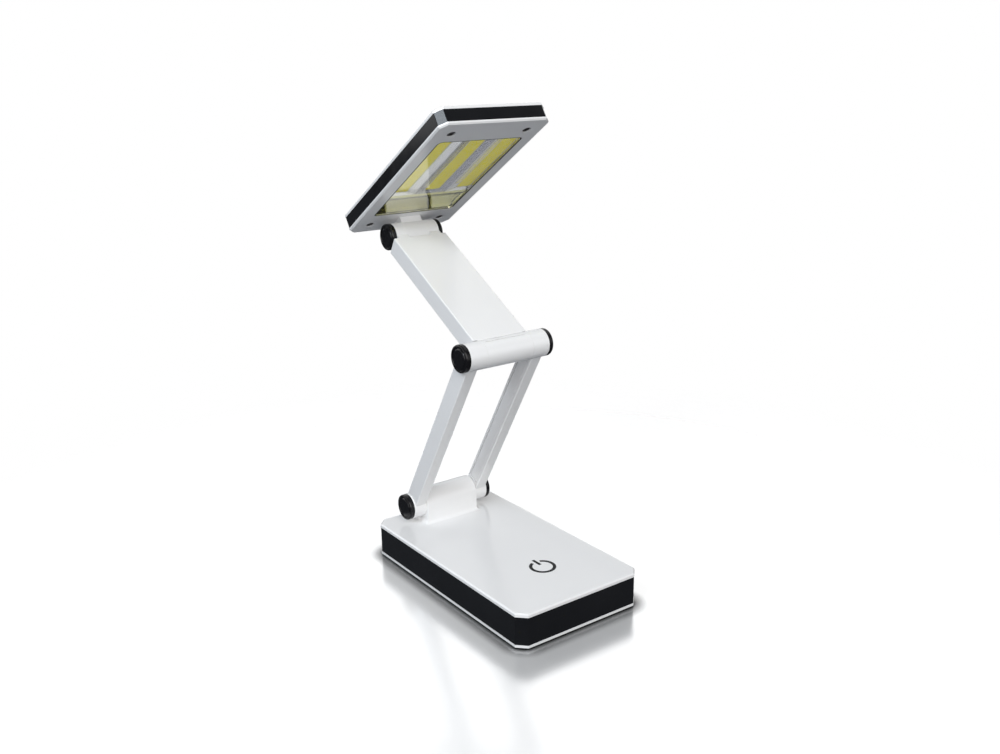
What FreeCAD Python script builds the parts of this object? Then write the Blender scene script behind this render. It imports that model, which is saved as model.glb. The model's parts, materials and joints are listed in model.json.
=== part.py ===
import FreeCAD, Part
import math
import os
import re
import Sketcher

# Folding desk lamp, millimetres. The frame's origin is on the table under the middle of the base.
# +Z is up, +X runs along the hinge axes and -Y is the front, where the touch symbol is.
# Every arm piece is drawn as it lies when the lamp is folded flat and then turned to its open place.

Vector = FreeCAD.Vector

sizes = {
    # base
    "baseLength": 150.0, "baseWidth": 85.0, "baseCorner": 5.2,
    "footProud": 0.6, "footRadius": 5.0, "footRecess": 0.4, "footInset": 11.0, "footEnd": 19.0,
    "plateThick": 1.8, "baseBandHeight": 16.4, "baseBandWall": 2.4, "baseLip": 2.2,
    "bandInset": 0.2, "bandEdge": 0.8, "skirtWall": 1.8, "edgeBevel": 0.8, "seatGap": 0.15,
    "frameWeb": 1.0, "webGap": 1.0,
    # hinge block on the base
    "hingeInset": 14.0, "hingeZ": 31.85, "blockRadius": 9.1, "blockHalf": 18.3, "blockFoot": 2.0,
    "blockEdge": 0.8, "blockHollow": 13.0, "blockHollowDepth": 12.0, "blockHollowRise": 5.0,
    # hinges
    "barrelRadius": 8.0, "capThick": 3.0, "capEdge": 0.8, "capGrooveOuter": 6.8,
    "capGrooveInner": 5.9, "capGrooveDepth": 0.5, "capDiscRadius": 5.1,
    "capPlugRadius": 5.3, "capPlugLength": 1.0, "boreRadius": 3.05, "axleGap": 0.05, "axleHole": 1.9,
    "washerThick": 0.4, "washerRadius": 7.9, "nutRadius": 4.8, "nutThick": 2.2, "nutSeatRadius": 5.6,
    "nutSeatDepth": 4.0, "axleEnd": 0.4,
    # lower arm: two legs
    "lowerLength": 128.0, "legThick": 7.5, "legDepth": 11.0, "legWall": 1.5, "legEdge": 0.7,
    "legLidThick": 1.2, "legLidEdge": 0.5, "lidRecess": 0.2, "knuckleProud": 0.8, "legEndWall": 2.4,
    "knuckleInner": 15.9,
    # upper arm: one flat housing
    "upperLength": 108.0, "sideGap": 0.4, "upperThick": 11.0, "upperWall": 1.8, "upperEnd": 8.6,
    "reliefGap": 0.2, "earInner": 7.6, "earOuter": 15.0, "upperLidThick": 1.5,
    "creasePlace": 1.5, "creaseWidth": 0.5, "creaseDepth": 0.6, "creaseInset": 1.5,
    "bossRadius": 2.8, "pilotRadius": 1.3,
    # head
    "headLength": 128.5, "headWidth": 72.0, "headCorner": 4.1, "headOverhang": 12.0, "headDrop": 10.0,
    "headRim": 1.6, "headBandHeight": 7.2, "headBandWall": 1.8, "headLip": 2.1, "headTopThick": 1.5,
    "windowHalf": 28.0, "windowNear": 9.6, "windowFar": 97.7, "windowCorner": 3.0,
    "windowSink": 0.3, "windowGap": 0.3, "windowFlange": 1.5, "windowFlangeThick": 0.6,
    "neckHalf": 7.2, "neckDepth": 10.0,
    "reflectorThick": 2.2, "reflectorRim": 2.6, "crestSink": 0.25, "floorSink": 0.9, "slopeRun": 1.3,
    "crossNear": 11.0, "crossFar": 31.0, "crossSlope": 4.5, "ridgeNear": 34.0,
    "stripPitch": 22.0, "stripWidth": 10.5, "stripNear": 36.0, "stripFar": 98.6, "stripBoard": 1.0,
    "stripMargin": 0.5, "stripGap": 0.1, "heatPlateThick": 1.2, "heatPostRadius": 2.2,
    # screws
    "screwRadius": 1.25, "screwHead": 2.4, "screwHeadThick": 0.9, "screwHole": 1.5,
    "screwSink": 1.1, "screwLength": 6.0, "screwSeat": 2.6,
    "baseScrewSide": 9.5, "baseScrewEnd": 11.0, "headScrewX": 24.7, "headScrewEnd": 10.2,
    "armScrewX": 12.5, "armScrewInset": 8.0,
    # power
    "cellRadius": 7.1, "cellLength": 49.5, "nubRadius": 2.75, "nubLength": 1.0, "cellPitch": 14.8,
    "cellLift": 0.3, "cellSlack": 0.3, "trayWall": 1.2, "trayRoof": 0.7, "trayHeight": 15.3, "trayEnd": 28.0,
    "springLength": 5.0, "springRadius": 4.5, "springTip": 2.5, "contactThick": 0.4, "contactHalf": 5.5,
    "doorThick": 1.2, "doorLedge": 1.6, "doorGap": 0.25, "doorMargin": 4.0,
    "boardHalf": 22.0, "boardEnd": 24.0, "boardLength": 23.0, "boardThick": 1.6, "boardPost": 3.0,
    "boardPostRadius": 2.2, "boardPostInset": 3.0, "boardHole": 1.1, "boardPilot": 0.9,
    "boardScrewRadius": 0.85, "boardScrewHead": 1.9, "boardScrewHeadThick": 1.2,
    "chipHalf": 4.0, "chipThick": 1.4, "plugWidth": 5.0, "plugSide": 6.0,
    "coilRadius": 2.5, "coilHeight": 3.2, "coilSide": 9.0, "coilSetback": 6.0,
    "padRadius": 9.0, "symbolEnd": 38.0, "ballastHalf": 29.5, "ballastThick": 6.0,
    "ballastEnd": 17.0, "ballastLength": 29.0, "ballastCorner": 4.0, "wireRadius": 1.1,
    # the open pose, in degrees from the folded one
    "lowerAngle": 59.3, "upperRise": 29.9, "headTilt": 32.1,
}

doc = FreeCAD.newDocument("DeskLamp")
sheet = doc.addObject("Spreadsheet::Sheet", "Sizes")
for row, (name, value) in enumerate(sizes.items(), start=1):
    sheet.set(f"A{row}", name)
    sheet.set(f"B{row}", str(value))
    sheet.setAlias(f"B{row}", name)
doc.recompute()

# heights and lengths that follow from the driving sizes
derived = {
    "hingeY": "baseLength / 2 - hingeInset",
    "baseScrewX": "baseWidth / 2 - baseScrewSide",
    "baseScrewY": "baseLength / 2 - baseScrewEnd",
    "trayFar": "baseLength / 2 - trayEnd",
    "trayNear": "2 * trayWall + 2 * contactThick + nubLength + cellLength + springLength + cellSlack"
                " - baseLength / 2 + trayEnd",
    "boardFar": "baseLength / 2 - boardEnd",
    "boardNear": "baseLength / 2 - boardEnd - boardLength",
    "symbolY": "baseLength / 2 - symbolEnd",
    "ballastFar": "baseLength / 2 - ballastEnd",
    "ballastNear": "baseLength / 2 - ballastEnd - ballastLength",
    "plateTop": "footProud + plateThick",
    "bandTop": "footProud + plateThick + baseBandHeight",
    "baseTop": "footProud + plateThick + baseBandHeight + baseLip",
    "hingeHalf": "blockHalf + washerThick + legThick + knuckleProud",
    "legInner": "blockHalf + washerThick",
    "legOuter": "blockHalf + washerThick + legThick",
    "upperHalf": "blockHalf + washerThick - sideGap",
    "middleHalf": "knuckleInner - washerThick",
    "axleRadius": "boreRadius - axleGap",
    "middleY": "hingeY - lowerLength * cos(lowerAngle)",
    "middleZ": "hingeZ + lowerLength * sin(lowerAngle)",
    "tipY": "hingeY - lowerLength * cos(lowerAngle) + upperLength * cos(upperRise)",
    "tipZ": "hingeZ + lowerLength * sin(lowerAngle) + upperLength * sin(upperRise)",
    "rimTop": "headDrop + headRim",
    "headBandTop": "headDrop + headRim + headBandHeight",
    "headTop": "headDrop + headRim + headBandHeight + headLip",
    "headInside": "headDrop + headRim + headBandHeight + headLip - headTopThick",
    "headFar": "headLength - headOverhang",
    "reflectorFront": "headDrop + headRim + windowFlangeThick",
    "reflectorBack": "headDrop + headRim + windowFlangeThick + reflectorThick",
}


def formula(text):
    """Names of sizes become references to the sheet; derived names are written out in full."""
    text = str(text)
    while any(re.search(rf"\b{name}\b", text) for name in derived):
        text = re.sub(r"[A-Za-z]\w*", lambda word: f"({derived[word.group()]})"
                      if word.group() in derived else word.group(), text)
    return re.sub(r"[A-Za-z]\w*", lambda word: f"Sizes.{word.group()}"
                  if word.group() in sizes else word.group(), text)


def number(text):
    return float(sheet.evalExpression(formula(text)))


frames = {
    "base": ("0", "0", "0"),
    "baseHinge": ("hingeY", "hingeZ", "0"),
    "lower": ("hingeY", "hingeZ", "-lowerAngle"),
    "lowerEnd": ("middleY", "middleZ", "-lowerAngle"),
    "upper": ("middleY", "middleZ", "upperRise"),
    "upperEnd": ("tipY", "tipZ", "upperRise"),
    "head": ("tipY", "tipZ", "-headTilt"),
}
pieces = []


def newPiece(node, frame):
    """One sub-part: a body whose place follows the hinge that carries it."""
    body = doc.addObject("PartDesign::Body", node)
    body.Label = node
    y, z, angle = frames[frame]
    body.Placement = FreeCAD.Placement(Vector(0, 0, 0), FreeCAD.Rotation(Vector(1, 0, 0), 1))
    body.setExpression("Placement.Base.y", formula(y))
    body.setExpression("Placement.Base.z", formula(z))
    body.setExpression("Placement.Rotation.Angle", formula(angle))
    pieces.append(body)
    return body


def newSketch(body, plane, offset="0"):
    sketch = body.newObject("Sketcher::SketchObject", f"{body.Name}_sketch")
    role = next(item for item in body.Origin.OriginFeatures if item.Role == f"{plane}_Plane")
    sketch.AttachmentSupport = [(role, "")]
    sketch.MapMode = "FlatFace"
    sketch.setExpression("AttachmentOffset.Base.z", formula(offset))
    return sketch


def pin(sketch, index, corner, x, y):
    """Holds one point of the sketch at the place that two formulas give."""
    for kind, value in (("DistanceX", x), ("DistanceY", y)):
        rule = sketch.addConstraint(Sketcher.Constraint(kind, -1, 1, index, corner, number(value)))
        sketch.setExpression(f"Constraints[{rule}]", formula(value))


def outline(sketch, points):
    """A closed outline of straight lines through points given as pairs of formulas."""
    places = [Vector(number(x), number(y), 0) for x, y in points]
    first = sketch.GeometryCount
    for index, place in enumerate(places):
        following = places[(index + 1) % len(places)]
        sketch.addGeometry(Part.LineSegment(place, following), False)
    for index in range(len(points)):
        following = first + (index + 1) % len(points)
        sketch.addConstraint(Sketcher.Constraint("Coincident", first + index, 2, following, 1))
    for index, (x, y) in enumerate(points):
        pin(sketch, first + index, 1, x, y)


def circle(sketch, x, y, radius):
    centre = Vector(number(x), number(y), 0)
    index = sketch.addGeometry(Part.Circle(centre, Vector(0, 0, 1), number(radius)), False)
    pin(sketch, index, 3, x, y)
    rule = sketch.addConstraint(Sketcher.Constraint("Radius", index, number(radius)))
    sketch.setExpression(f"Constraints[{rule}]", formula(radius))


def box(x0, x1, y0, y1):
    return [(x0, y0), (x1, y0), (x1, y1), (x0, y1)]


def cutCorners(halfX, y0, y1, corner, inset="0"):
    """A rectangle with its four corners cut at 45 degrees, moved in all round by the inset."""
    side = f"({halfX} - ({inset}))"
    low = f"({y0} + ({inset}))"
    high = f"({y1} - ({inset}))"
    cut = f"({corner} - ({inset}) * {2 - math.sqrt(2):.6f})"
    return [(f"-{side} + {cut}", low), (f"{side} - {cut}", low), (side, f"{low} + {cut}"),
            (side, f"{high} - {cut}"), (f"{side} - {cut}", high), (f"-{side} + {cut}", high),
            (f"-{side}", f"{high} - {cut}"), (f"-{side}", f"{low} + {cut}")]


def raised(body, kind, sketch, length, reverse=False, symmetric=False):
    feature = body.newObject(kind, f"{body.Name}_{kind.split('::')[1].lower()}")
    feature.Profile = sketch
    feature.setExpression("Length", formula(length))
    feature.Reversed = reverse
    if symmetric:
        feature.SideType = "Symmetric"
    sketch.Visibility = False
    return feature


def pad(body, plane, offset, length, *shapes, reverse=False, symmetric=False):
    return sketched(body, "PartDesign::Pad", plane, offset, length, shapes, reverse, symmetric)


def pocket(body, plane, offset, length, *shapes, reverse=False, symmetric=False):
    """Cuts towards the plane's own normal unless it is reversed."""
    return sketched(body, "PartDesign::Pocket", plane, offset, length, shapes, not reverse, symmetric)


def sketched(body, kind, plane, offset, length, shapes, reverse, symmetric):
    sketch = newSketch(body, plane, offset)
    for shape in shapes:
        if isinstance(shape, tuple):
            circle(sketch, *shape)
        else:
            outline(sketch, shape)
    return raised(body, kind, sketch, length, reverse, symmetric)


def turned(body, *profiles, plane="XY", axis="H_Axis"):
    """A solid of revolution: each profile is an outline of points along and away from the axis."""
    sketch = newSketch(body, plane)
    for points in profiles:
        outline(sketch, points)
    feature = body.newObject("PartDesign::Revolution", f"{body.Name}_turned")
    feature.Profile = sketch
    feature.ReferenceAxis = (sketch, [axis])
    feature.Angle = 360
    sketch.Visibility = False
    return feature


def edgesWhere(feature, test):
    """Names of the edges of a feature whose two ends and middle all pass the test."""
    doc.recompute()
    names = []
    for index, edge in enumerate(feature.Shape.Edges, start=1):
        middle = edge.valueAt((edge.FirstParameter + edge.LastParameter) / 2)
        points = [vertex.Point for vertex in edge.Vertexes] + [middle]
        if all(test(point) for point in points):
            names.append(f"Edge{index}")
    return names


def dressed(body, kind, feature, test, size):
    names = edgesWhere(feature, test)
    dress = body.newObject(kind, f"{body.Name}_{kind.split('::')[1].lower()}")
    dress.Base = (feature, names)
    prop = "Size" if kind.endswith("Chamfer") else "Radius"
    dress.setExpression(prop, formula(size))
    return dress


def chamfer(body, feature, test, size):
    return dressed(body, "PartDesign::Chamfer", feature, test, size)


def fillet(body, feature, test, size):
    return dressed(body, "PartDesign::Fillet", feature, test, size)


def near(a, b, slack=0.01):
    return abs(a - b) < slack


# ---------------------------------------------------------------- base

baseOutline = ("baseWidth / 2", "-baseLength / 2", "baseLength / 2", "baseCorner")
screwPlaces = [(f"{sx} * baseScrewX", f"{sy} * baseScrewY") for sx in (-1, 1) for sy in (-1, 1)]


boardPlaces = [(f"{sx} * (boardHalf - boardPostInset)", y) for sx in (-1, 1)
               for y in ("-boardNear - boardPostInset", "-boardFar + boardPostInset")]


def makeBaseTopCover():
    body = newPiece("base_top_cover", "base")
    lip = pad(body, "XY", "bandTop", "baseLip", cutCorners(*baseOutline))
    top = number("baseTop")
    chamfer(body, lip, lambda p: near(p.z, top), "edgeBevel")
    pad(body, "YZ", "0", "2 * blockHalf",
        box("hingeY - blockRadius", "hingeY + blockRadius", "baseTop - baseLip / 2", "hingeZ"), symmetric=True)
    block = pad(body, "YZ", "0", "2 * blockHalf", ("hingeY", "hingeZ", "blockRadius"), symmetric=True)
    half = number("blockHalf")
    y0, y1 = number("hingeY - blockRadius"), number("hingeY + blockRadius")
    fillet(body, block, lambda p: near(p.z, top) and (
        (near(p.y, y0) or near(p.y, y1)) and abs(p.x) < half + 0.01
        or near(abs(p.x), half) and y0 - 0.01 < p.y < y1 + 0.01), "blockFoot")
    pocket(body, "XY", "bandTop", "blockHollowDepth",
           box("-blockHollow", "blockHollow", "hingeY - blockHollowRise", "hingeY + blockHollowRise"))
    pocket(body, "YZ", "0", "4 * blockHalf", ("hingeY", "hingeZ", "boreRadius"), symmetric=True)


def makeBaseInnerFrame():
    """Web under the cover with a skirt inside the band, the screw bosses and the posts for the board."""
    body = newPiece("base_inner_frame", "base")
    skirtInset = "(baseBandWall + seatGap)"
    pad(body, "XY", "bandTop", "frameWeb", cutCorners(*baseOutline, skirtInset), reverse=True)
    pad(body, "XY", "bandTop", "baseBandHeight", cutCorners(*baseOutline, skirtInset),
        cutCorners(*baseOutline, f"({skirtInset} + skirtWall)"), reverse=True)
    pad(body, "XY", "bandTop", "baseBandHeight", *[(x, y, "bossRadius") for x, y in screwPlaces], reverse=True)
    pad(body, "XY", "bandTop", "boardPost", *[(x, y, "boardPostRadius") for x, y in boardPlaces], reverse=True)
    pocket(body, "XY", "bandTop", "frameWeb",
           box("-blockHollow - webGap", "blockHollow + webGap",
               "hingeY - blockHollowRise - webGap", "hingeY + blockHollowRise + webGap"),
           ("0", "-symbolY", "padRadius + webGap"), reverse=True)
    pocket(body, "XY", "plateTop", "screwLength + screwSink", *[(x, y, "pilotRadius") for x, y in screwPlaces])
    postPilots = [(x, y, "boardPilot") for x, y in boardPlaces]
    pocket(body, "XY", "bandTop - boardPost", "boardPost - 0.3", *postPilots)


def softCorners(body, band, points):
    """Rounds the upright outer edges of a band, where its sides meet at the cut corners."""
    places = [(number(x), number(y)) for x, y in points]
    return fillet(body, band, lambda p: any(near(p.x, x) and near(p.y, y) for x, y in places), "bandEdge")


def makeBaseSideBand():
    body = newPiece("base_side_band", "base")
    outside = cutCorners(*baseOutline, "bandInset")
    band = pad(body, "XY", "plateTop", "baseBandHeight", outside, cutCorners(*baseOutline, "baseBandWall"))
    softCorners(body, band, outside)


footPlaces = {f"rubber_foot_{end}_{side}": (f"{sx} * (baseWidth / 2 - footInset)",
                                            f"{sy} * (baseLength / 2 - footEnd)")
              for end, sy in (("front", -1), ("rear", 1)) for side, sx in (("left", -1), ("right", 1))}
doorHalf = "(2 * cellPitch + doorMargin / 4)"
doorNear = "(-trayNear + trayWall)"
doorFar = "(trayFar - trayWall)"


def makeBaseBottomPlate():
    body = newPiece("base_bottom_plate", "base")
    plate = pad(body, "XY", "footProud", "plateThick", cutCorners(*baseOutline))
    low = number("footProud")
    chamfer(body, plate, lambda p: near(p.z, low), "edgeBevel / 2")
    pocket(body, "XY", "footProud", "plateThick", box(f"-{doorHalf}", doorHalf, doorNear, doorFar))
    pocket(body, "XY", "footProud", "doorThick",
           box(f"-{doorHalf} - doorLedge", f"{doorHalf} + doorLedge",
               f"{doorNear} - doorLedge", f"{doorFar} + doorLedge"))
    pocket(body, "XY", "footProud", "footRecess",
           *[(x, y, "footRadius + seatGap") for x, y in footPlaces.values()])
    pocket(body, "XY", "footProud", "screwSink", *[(x, y, "screwSeat") for x, y in screwPlaces])
    pocket(body, "XY", "footProud", "plateThick", *[(x, y, "screwHole") for x, y in screwPlaces])


def makeBatteryDoor():
    body = newPiece("battery_door", "base")
    grow = "(doorLedge - doorGap)"
    pad(body, "XY", "footProud", "doorThick",
        box(f"-{doorHalf} - {grow}", f"{doorHalf} + {grow}", f"{doorNear} - {grow}", f"{doorFar} + {grow}"))
    for step in range(3):
        y = f"({doorFar} - 4 - {2 * step})"
        pocket(body, "XY", "footProud", "doorThick / 3", box("-8", "8", f"{y} - 0.4", f"{y} + 0.4"))


def makeRubberFeet():
    for node, (x, y) in footPlaces.items():
        body = newPiece(node, "base")
        foot = pad(body, "XY", "0", "footProud + footRecess", (x, y, "footRadius"))
        chamfer(body, foot, lambda p: near(p.z, 0), "footProud / 3")


def makeScrews(node, frame, places, start, up=1):
    """Round-head screws as one group; their heads start at one height and their shanks point up."""
    body = newPiece(node, frame)
    body.AllowCompound = True
    pad(body, "XY", start, "screwHeadThick", *[(x, y, "screwHead") for x, y in places], reverse=up < 0)
    pad(body, "XY", start, "screwLength", *[(x, y, "screwRadius") for x, y in places], reverse=up < 0)
    pocket(body, "XY", start, "screwHeadThick / 2",
           *[box(f"{x} - 1.5", f"{x} + 1.5", f"{y} - 0.35", f"{y} + 0.35") for x, y in places],
           reverse=up < 0)


def makeBatteryPack():
    tray = newPiece("battery_tray", "base")
    halfX = "(2 * cellPitch + trayWall)"
    pad(tray, "XY", "plateTop", "trayHeight", box(f"-{halfX}", halfX, "-trayNear", "trayFar"))
    pocket(tray, "XY", "plateTop", "trayHeight - trayRoof",
           box("-2 * cellPitch", "2 * cellPitch", "-trayNear + trayWall", "trayFar - trayWall"))
    cellMiddle = "(plateTop + cellRadius + cellLift)"
    for index in range(4):
        front = -1 if index % 2 else 1
        body = newPiece(f"battery_cell_{index + 1}", "base")
        x = f"({index - 1.5} * cellPitch)"
        nubEnd = "(-trayNear + trayWall + contactThick)"
        if front < 0:
            nubEnd = "(trayFar - trayWall - contactThick)"
        pad(body, "XZ", f"-({nubEnd} + {front} * nubLength)", "cellLength", (x, cellMiddle, "cellRadius"),
            reverse=front > 0)
        pad(body, "XZ", f"-({nubEnd})", "nubLength + 1", (x, cellMiddle, "nubRadius"), reverse=front > 0)
    for node, front in (("battery_contacts_front", 1), ("battery_contacts_rear", -1)):
        body = newPiece(node, "base")
        body.AllowCompound = True
        wall = "(-trayNear + trayWall)" if front > 0 else "(trayFar - trayWall)"
        plates = [box(f"{index - 1.5} * cellPitch - contactHalf", f"{index - 1.5} * cellPitch + contactHalf",
                      f"{cellMiddle} - contactHalf", f"{cellMiddle} + contactHalf") for index in range(4)]
        pad(body, "XZ", f"-{wall}", "contactThick", *plates, reverse=front > 0)
        springs = [index for index in range(4) if (index % 2 == 1) == (front > 0)]
        for stage in range(3):
            radius = f"(springRadius - (springRadius - springTip) * {stage / 3:.4f})"
            pad(body, "XZ", f"-({wall} + {front} * contactThick)", f"springLength * {(stage + 1) / 3:.4f}",
                *[(f"{index - 1.5} * cellPitch", cellMiddle, radius) for index in springs],
                reverse=front > 0)


def makeControls():
    board = newPiece("control_board", "base")
    level = "(bandTop - boardPost)"
    under = f"({level} - boardThick)"
    pad(board, "XY", level, "boardThick",
        box("-boardHalf", "boardHalf", "-boardFar", "-boardNear"), reverse=True)
    pad(board, "XY", under, "chipThick",
        box("-chipHalf", "chipHalf", "-symbolY - chipHalf", "-symbolY + chipHalf"),
        box("plugSide", "plugSide + plugWidth", "-symbolY - 2 * chipHalf", "-symbolY - chipHalf"), reverse=True)
    pad(board, "XY", under, "coilHeight", ("coilSide", "-symbolY + coilSetback", "coilRadius"), reverse=True)
    pocket(board, "XY", level, "boardThick", *[(x, y, "boardHole") for x, y in boardPlaces], reverse=True)
    sensor = newPiece("touch_sensor_pad", "base")
    pad(sensor, "XY", level, "boardPost", ("0", "-symbolY", "padRadius"))
    screws = newPiece("board_screws", "base")
    screws.AllowCompound = True
    heads = [(x, y, "boardScrewHead") for x, y in boardPlaces]
    shanks = [(x, y, "boardScrewRadius") for x, y in boardPlaces]
    pad(screws, "XY", under, "boardScrewHeadThick", *heads, reverse=True)
    pad(screws, "XY", under, "boardThick + boardPost / 2", *shanks)
    ballast = newPiece("ballast_plate", "base")
    slab = pad(ballast, "XY", "plateTop", "ballastThick",
               cutCorners("ballastHalf", "-ballastFar", "-ballastNear", "ballastCorner"))
    high = number("plateTop + ballastThick")
    chamfer(ballast, slab, lambda p: near(p.z, high), "ballastThick / 10")


# -------------------------------------------------------------- hinges

def makeCap(node, frame, half, side):
    """Round black end cap: a rim, a groove, a disc with a soft edge and a plug that enters the knuckle."""
    body = newPiece(node, frame)
    seat = f"({half} * {side})"
    out = f"({half} * {side} + capThick * {side})"
    points = [(f"{seat} - {side} * capPlugLength", "0"), (f"{seat} - {side} * capPlugLength", "capPlugRadius"),
              (seat, "capPlugRadius"), (seat, "barrelRadius"), (f"{out} - {side} * capEdge", "barrelRadius"),
              (f"{out} - {side} * capEdge * 0.3", "barrelRadius - capEdge * 0.3"),
              (out, "barrelRadius - capEdge"), (out, "capGrooveOuter"),
              (f"{out} - {side} * capGrooveDepth", "capGrooveOuter - capGrooveDepth / 2"),
              (f"{out} - {side} * capGrooveDepth", "capGrooveInner"),
              (f"{out} - {side} * capGrooveDepth * 0.3", "(capGrooveInner + capDiscRadius) / 2"),
              (out, "capDiscRadius"), (out, "0")]
    turned(body, points)


def makeHingeHardware(name, frame, knuckleFace, nutFace):
    """Hollow axle, two friction washers and two round nuts."""
    axle = newPiece(f"{name}_axle", frame)
    end = f"({nutFace} + nutThick + axleEnd)"
    pad(axle, "YZ", "0", f"2 * {end}", ("0", "0", "axleRadius"), ("0", "0", "axleHole"), symmetric=True)
    washers = newPiece(f"{name}_washers", frame)
    washers.AllowCompound = True
    nuts = newPiece(f"{name}_nuts", frame)
    nuts.AllowCompound = True
    for side in (-1, 1):
        pad(washers, "YZ", f"{side} * {knuckleFace}", "washerThick", ("0", "0", "washerRadius"),
            ("0", "0", "boreRadius"), reverse=side < 0)
        pad(nuts, "YZ", f"{side} * {nutFace}", "nutThick", hexagon("nutRadius"),
            ("0", "0", "boreRadius"), reverse=side < 0)


def hexagon(radius):
    return [(f"{radius} * {math.cos(math.radians(60 * corner)):.6f}",
             f"{radius} * {math.sin(math.radians(60 * corner)):.6f}") for corner in range(6)]


# ----------------------------------------------------------- lower arm

def makeLeg(side, name):
    body = newPiece(f"{name}_leg_channel", "lower")
    inner = f"{side} * legInner"
    bar = pad(body, "YZ", inner, "legThick", box("-lowerLength", "0", "-legDepth / 2", "legDepth / 2"),
              reverse=side < 0)
    depth = number("legDepth / 2")
    ends = (number("legInner"), number("legOuter"))
    fillet(body, bar, lambda p: near(abs(p.z), depth)
           and (near(abs(p.x), ends[0]) or near(abs(p.x), ends[1])), "legEdge")
    pad(body, "YZ", inner, "legThick + knuckleProud", ("0", "0", "barrelRadius"), reverse=side < 0)
    pad(body, "YZ", f"{side} * knuckleInner", "hingeHalf - knuckleInner", ("-lowerLength", "0", "barrelRadius"),
        reverse=side < 0)
    reach = "(barrelRadius + legEndWall)"
    pocket(body, "YZ", inner, "legThick - legWall",
           box(f"-lowerLength + {reach}", f"-{reach}", "-legDepth / 2 + legWall", "legDepth / 2 - legWall"),
           reverse=side < 0)
    centres = [("0", "0"), ("-lowerLength", "0")]
    pocket(body, "YZ", "0", "4 * hingeHalf", *[(y, z, "boreRadius") for y, z in centres], symmetric=True)
    pocket(body, "YZ", f"{side} * (hingeHalf - nutSeatDepth)", "nutSeatDepth + 1",
           *[(y, z, "nutSeatRadius") for y, z in centres], reverse=side < 0)
    lid = newPiece(f"{name}_leg_lid", "lower")
    gap = "seatGap"
    slab = pad(lid, "YZ", f"{side} * (legInner + lidRecess)", "legLidThick",
        box(f"-lowerLength + {reach} + {gap}", f"-{reach} - {gap}",
            f"-legDepth / 2 + legWall + {gap}", f"legDepth / 2 - legWall - {gap}"), reverse=side < 0)
    face = number("legInner + lidRecess")
    chamfer(lid, slab, lambda p: near(abs(p.x), face), "legLidEdge")
    rib = f"{side} * (legInner + lidRecess + legLidThick)"
    ribs = [box(f"-{reach} - {20 * step + 8}", f"-{reach} - {20 * step + 7}", "-legDepth / 2 + legWall + 1",
                "legDepth / 2 - legWall - 1") for step in range(5)]
    pad(lid, "YZ", rib, "legThick - legWall - lidRecess - legLidThick - 2.6", *ribs, reverse=side < 0)


# ----------------------------------------------------------- upper arm

armScrewPlaces = [(f"{sx} * armScrewX", y) for sx in (-1, 1)
                  for y in ("barrelRadius + legEndWall + armScrewInset",
                            "upperLength - upperEnd - upperWall - armScrewInset")]


def makeUpperArm():
    body = newPiece("upper_arm_shell", "upper")
    flatEnd = "(upperLength - upperEnd)"
    bar = pad(body, "YZ", "0", "2 * upperHalf",
              box("0", flatEnd, "-upperThick / 2", "upperThick / 2"), symmetric=True)
    half, thick = number("upperHalf"), number("upperThick / 2")
    fillet(body, bar, lambda p: near(abs(p.x), half) and near(abs(p.z), thick), "legEdge")
    pad(body, "YZ", "0", "2 * middleHalf", ("0", "0", "barrelRadius"), symmetric=True)
    for side in (-1, 1):
        pocket(body, "YZ", f"{side} * middleHalf", "upperHalf - middleHalf + 1",
               ("0", "0", "barrelRadius + reliefGap"), reverse=side < 0)
        pad(body, "YZ", f"{side} * earInner", "earOuter - earInner",
            box(f"{flatEnd} - 1", "upperLength", "-upperThick / 2", "upperThick / 2"), reverse=side < 0)
        pad(body, "YZ", f"{side} * earInner", "earOuter - earInner", ("upperLength", "0", "barrelRadius"),
            reverse=side < 0)
        pocket(body, "YZ", f"{side} * (earOuter - nutSeatDepth)", "nutSeatDepth + 1",
               ("upperLength", "0", "nutSeatRadius"), reverse=side < 0)
    pocket(body, "YZ", "0", "4 * upperHalf", ("0", "0", "boreRadius"), ("upperLength", "0", "boreRadius"),
           symmetric=True)
    near0 = "(barrelRadius + legEndWall)"
    far0 = f"({flatEnd} - upperWall)"
    pocket(body, "XY", "-upperThick / 2", "upperThick - upperWall",
           box("-upperHalf + upperWall", "upperHalf - upperWall", near0, far0))
    pad(body, "XY", "upperThick / 2 - upperWall / 2",
        "upperThick - upperWall / 2 - lidRecess - upperLidThick",
        *[(x, y, "bossRadius") for x, y in armScrewPlaces], reverse=True)
    pocket(body, "XY", "-upperThick / 2", "upperThick - upperWall - 1",
           *[(x, y, "pilotRadius") for x, y in armScrewPlaces])
    pocket(body, "YZ", "0", "2 * (middleHalf - creaseInset)",
           box("creasePlace - creaseWidth / 2", "creasePlace + creaseWidth / 2",
               "barrelRadius - creaseDepth", "barrelRadius + creaseDepth"), symmetric=True)
    lid = newPiece("upper_arm_back_cover", "upper")
    pad(lid, "XY", "-upperThick / 2 + lidRecess", "upperLidThick",
        box("-upperHalf + upperWall + seatGap", "upperHalf - upperWall - seatGap",
            f"{near0} + seatGap", f"{far0} - seatGap"))
    pocket(lid, "XY", "-upperThick / 2", "lidRecess + screwHeadThick",
           *[(x, y, "screwSeat") for x, y in armScrewPlaces])
    pocket(lid, "XY", "-upperThick / 2", "upperThick", *[(x, y, "screwHole") for x, y in armScrewPlaces])


# ---------------------------------------------------------------- head

headOutline = ("headWidth / 2", "-headFar", "headOverhang", "headCorner")
headScrewPlaces = [(f"{sx} * headScrewX", y) for sx in (-1, 1)
                   for y in ("headOverhang - headScrewEnd", "-headFar + headScrewEnd + 0.7")]


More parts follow.
